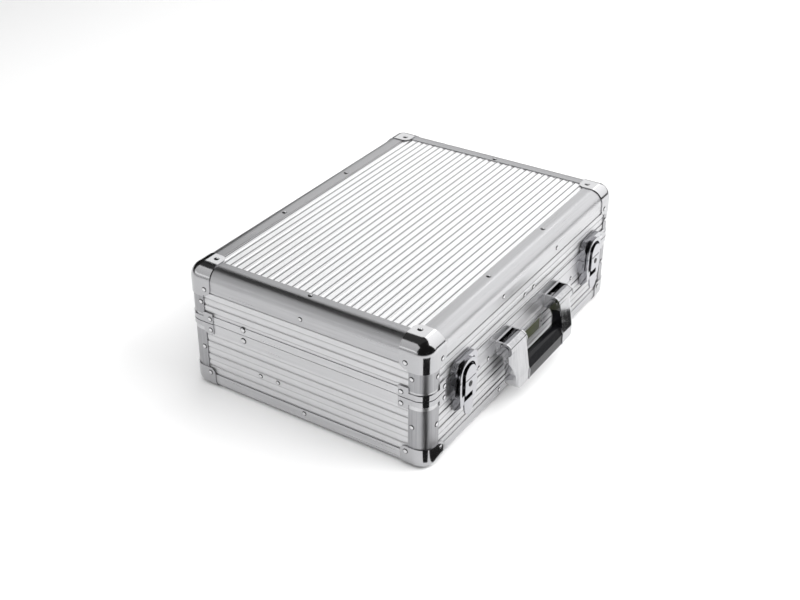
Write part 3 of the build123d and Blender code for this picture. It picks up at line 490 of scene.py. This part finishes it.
def four_ways(x, y, z, normal):
    """A place and its normal, mirrored left to right and front to rear."""
    found = []
    for sx in (-1, 1):
        for sy in (-1, 1):
            found.append(((sx * x, sy * y, z), (sx * normal[0], sy * normal[1], normal[2])))
    return found


def unique(places):
    """Drop the doubles that mirroring makes on a middle plane."""
    kept = {}
    for place, normal in places:
        kept[tuple(round(v, 5) + 0.0 for v in place)] = (place, normal)
    return list(kept.values())


def corner_rivets(inset, z, skin):
    """A rivet on each of a corner's two upright faces, at a distance from the corner."""
    ends = four_ways(half_length + skin, half_depth - inset, z, (1, 0, 0))
    fronts = four_ways(half_length - inset, half_depth + skin, z, (0, 1, 0))
    return ends + fronts


bar_inset = 0.0202
bar_rivet_x = 0.067
lid_bar_z = 0.1432
base_bar_z = 0.01535
lid_small = four_ways(bar_rivet_x, half_depth - bar_inset, body_top, (0, 0, 1))
lid_small += four_ways(bar_rivet_x, half_depth, lid_bar_z, (0, 1, 0))
lid_small += four_ways(half_length - bar_inset, 0.0, body_top, (0, 0, 1))
lid_small += four_ways(half_length, 0.0, lid_bar_z, (1, 0, 0))
base_small = four_ways(bar_rivet_x, half_depth, base_bar_z, (0, 1, 0))
base_small += four_ways(half_length, 0.0, base_bar_z, (1, 0, 0))

lid_large = corner_rivets(0.0275, 0.1373, corner_skin)
lid_large += corner_rivets(0.0200, 0.1182, 0.0)
lid_large += corner_rivets(0.0325, 0.0988, corner_skin)
lid_large += four_ways(half_length - 0.026, half_depth - 0.026, body_top + corner_skin, (0, 0, 1))
base_large = corner_rivets(0.0325, 0.0839, corner_skin)
base_large += corner_rivets(0.0194, 0.0559, 0.0)
base_large += corner_rivets(0.0264, 0.0216, corner_skin)

def pair(x, y, z, normal):
    """A place and its copy mirrored left to right."""
    return [((sx * x, y, z), (sx * normal[0], normal[1], normal[2])) for sx in (-1, 1)]


panel_front = -half_depth + panel_depth
lid_small += pair(0.0109, panel_front, 0.1165, (0, -1, 0))
for rivet_x in (0.0959, 0.1180):
    base_small += pair(rivet_x, panel_front, 0.0750, (0, -1, 0))
for rivet_y in (0.037, 0.062):
    base_small += pair(half_length - panel_depth, rivet_y, 0.0434, (1, 0, 0))
label_pins = pair(0.0376, -half_depth - 0.00002, 0.0546, (0, -1, 0))

stay_rivet_y = 0.0835
lid_stay = [((sx * half_length, stay_rivet_y, 0.0996), (sx, 0, 0)) for sx in (-1, 1)]
base_stay = [((sx * half_length, stay_rivet_y, 0.0850), (sx, 0, 0)) for sx in (-1, 1)]

for part_name, body, groups in (("lid", "lid", (("small", lid_small, small_rivet),
                                                ("large", lid_large, post_rivet),
                                                ("stay", lid_stay, stay_rivet))),
                                ("base", "base", (("small", base_small, small_rivet),
                                                  ("large", base_large, post_rivet),
                                                  ("label", label_pins, label_pin),
                                                  ("stay", base_stay, stay_rivet)))):
    for label_name, places, size in groups:
        heads = rivet_heads(f"{part_name}_rivets_{label_name}", unique(places), size, rivet)
        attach(heads, body)


# Studio

def area_light(name, place, target, size, power, colour=(1.0, 1.0, 1.0)):
    """A soft rectangular light that faces a point."""
    data = bpy.data.lights.new(name, "AREA")
    data.shape = "RECTANGLE"
    data.size, data.size_y = size
    data.energy = power
    data.color = colour
    lamp = bpy.data.objects.new(name, data)
    lamp.location = place
    direction = np.array(target) - np.array(place)
    flat = math.hypot(direction[0], direction[1])
    lamp.rotation_euler = (math.atan2(flat, -direction[2]), 0.0,
                           math.atan2(direction[1], direction[0]) - math.pi / 2)
    bpy.context.scene.collection.objects.link(lamp)
    return lamp


def floor_surface():
    """A pale floor, flat and far wider than the view: a 2 by 2 grid of points at z = 0."""
    material, shader, nodes, links = new_material("studio_floor")
    shader.inputs["Base Color"].default_value = (0.93, 0.93, 0.93, 1.0)
    shader.inputs["Roughness"].default_value = 0.9
    reach = 14.0
    points = np.array([(-reach, -reach, 0.0), (reach, -reach, 0.0),
                       (reach, reach, 0.0), (-reach, reach, 0.0)])
    floor = mesh_piece("studio_floor", points, np.array([(0, 1, 2, 3)]), material, smooth=False)
    return floor


def floor_flag(name, corner, near, far, first_angle, last_angle):
    """A studio flag: a black card on the floor that shows only in reflections.

    It is a sector about a corner, between two distances and two angles in degrees from
    the X axis, 1 mm above the floor: point = corner + r (cos t, sin t).
    """
    material, shader, nodes, links = new_material(name)
    shader.inputs["Base Color"].default_value = (0.01, 0.01, 0.01, 1.0)
    shader.inputs["Roughness"].default_value = 0.9
    turn = np.radians(np.linspace(first_angle, last_angle, 9))
    spread = np.stack([np.cos(turn), np.sin(turn), np.zeros(9)], 1)
    middle = np.array((corner[0], corner[1], 0.001))
    points = np.concatenate([middle + near * spread, middle + far * spread])
    k = np.arange(8)
    faces = np.stack([k, k + 9, k + 10, k + 1], 1)
    card = mesh_piece(name, points, faces, material, smooth=False)
    card.visible_camera = False
    card.visible_diffuse = False
    card.visible_shadow = False
    return card


floor_surface()
world = bpy.data.worlds.new("studio")
bpy.context.scene.world = world
world.use_nodes = True
world.node_tree.nodes["Background"].inputs["Color"].default_value = (1.0, 1.0, 1.0, 1.0)
world.node_tree.nodes["Background"].inputs["Strength"].default_value = 0.015


def softbox(name, azimuth, elevation, size, radiance, distance=2.8, seen=True):
    """A soft light about the case: its place by two angles in degrees, its power by radiance."""
    turn = math.radians(azimuth)
    rise = math.radians(elevation)
    place = (distance * math.cos(rise) * math.cos(turn), distance * math.cos(rise) * math.sin(turn),
             middle[2] + distance * math.sin(rise))
    lamp = area_light(name, place, middle, size, radiance * size[0] * size[1] * math.pi)
    lamp.visible_glossy = seen
    return lamp


middle = (0.0, 0.0, 0.1)
softbox("softbox_right", -30.0, 33.0, (3.6, 2.9), 1.45)
softbox("softbox_rear", 28.0, 30.0, (2.0, 2.1), 1.12)
softbox("softbox_left", 142.0, 32.0, (3.2, 2.4), 0.75)
softbox("softbox_left_low", 150.0, 8.0, (3.2, 0.8), 0.72)
softbox("ceiling_rear", 70.0, 72.0, (3.4, 2.6), 0.03)
softbox("fill_above", 225.0, 85.0, (3.6, 3.6), 1.4, seen=False)
softbox("fill_front", -70.0, 38.0, (2.0, 1.6), 4.2, distance=2.2, seen=False)
softbox("fill_left", 200.0, 48.0, (1.6, 1.4), 2.2, distance=2.2, seen=False)
floor_flag("corner_flag", (-0.225, -0.160), 0.012, 0.42, -148.0, -98.0)
floor_flag("corner_flag_low", (-0.214, -0.166), 0.002, 0.040, -110.0, -10.0)
floor_flag("handle_flag", (0.155, -0.255), 0.002, 0.040, -180.0, 180.0)

camera_data = bpy.data.cameras.new("photo_camera")
focal_pixels = 1224.54
photo_width = 800.0
camera_data.sensor_width = 36.0
camera_data.lens = focal_pixels * camera_data.sensor_width / photo_width
camera_data.shift_x = 29.76 / photo_width
camera_data.shift_y = -28.26 / photo_width
camera_data.clip_start = 0.05
camera = bpy.data.objects.new("photo_camera", camera_data)
camera.location = (-1.12473, -0.69651, 0.86150)
camera.rotation_euler = tuple(math.radians(a) for a in (59.7763, 0.5179, -56.3096))
bpy.context.scene.collection.objects.link(camera)
bpy.context.scene.camera = camera
bpy.context.scene.view_settings.view_transform = "Standard"
